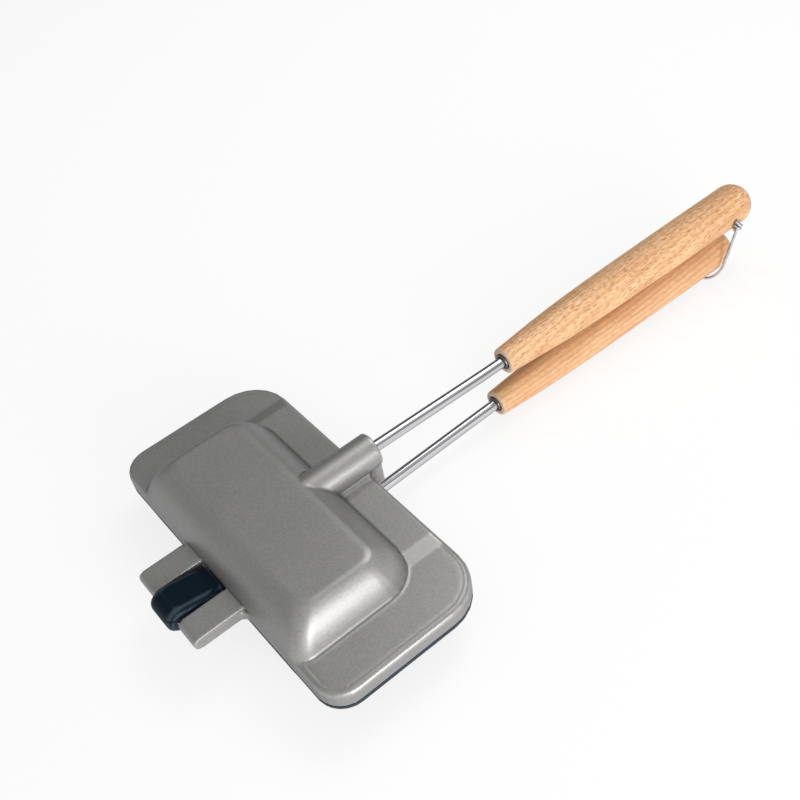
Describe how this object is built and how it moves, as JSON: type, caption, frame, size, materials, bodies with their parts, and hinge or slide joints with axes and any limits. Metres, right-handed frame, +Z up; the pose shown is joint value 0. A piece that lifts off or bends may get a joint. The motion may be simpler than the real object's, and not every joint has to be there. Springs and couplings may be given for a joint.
{
  "type": "pie iron",
  "caption": "Long-handled pie iron: two domed cast pans on a hook-and-pin hinge, steel rods, turned wooden handles and a wire bail that latches the handles together.",
  "frame": {"origin": "on the flat bottom of the lower dome, straight under the middle of the closed pans", "axes": "+X from the hinge along the handles, +Y along the long side of the pans, +Z up out of the upper dome"},
  "size_m": [0.345, 0.1616, 0.0431],
  "materials": {
    "grey_coat": "satin",
    "navy_coat": "satin",
    "steel": "polished",
    "ferrule": "dull",
    "beech": "oiled, fine grain",
    "wire": "bright"
  },
  "bodies": {
    "lower_half": {"lower_pan": "navy_coat", "lower_rod": "steel", "lower_ferrule": "ferrule", "lower_handle": "beech"},
    "upper_half": {"upper_pan": "grey_coat", "hinge_pin": "steel", "upper_rod": "steel", "upper_ferrule": "ferrule", "upper_handle": "beech"},
    "bail": {"bail_wire": "wire", "bail_winding": "wire"}
  },
  "joints": [
    {"name": "pan_hinge", "type": "hinge", "parent": "lower_half", "child": "upper_half", "pos_m": [-0.0587, 0, 0.0235], "axis": [0, -1, 0], "range_deg": [0, 180]},
    {"name": "bail_swing", "type": "hinge", "parent": "upper_half", "child": "bail", "pos_m": [0.262, 0, 0.032], "axis": [0, -1, 0], "range_deg": [0, 265]}
  ]
}
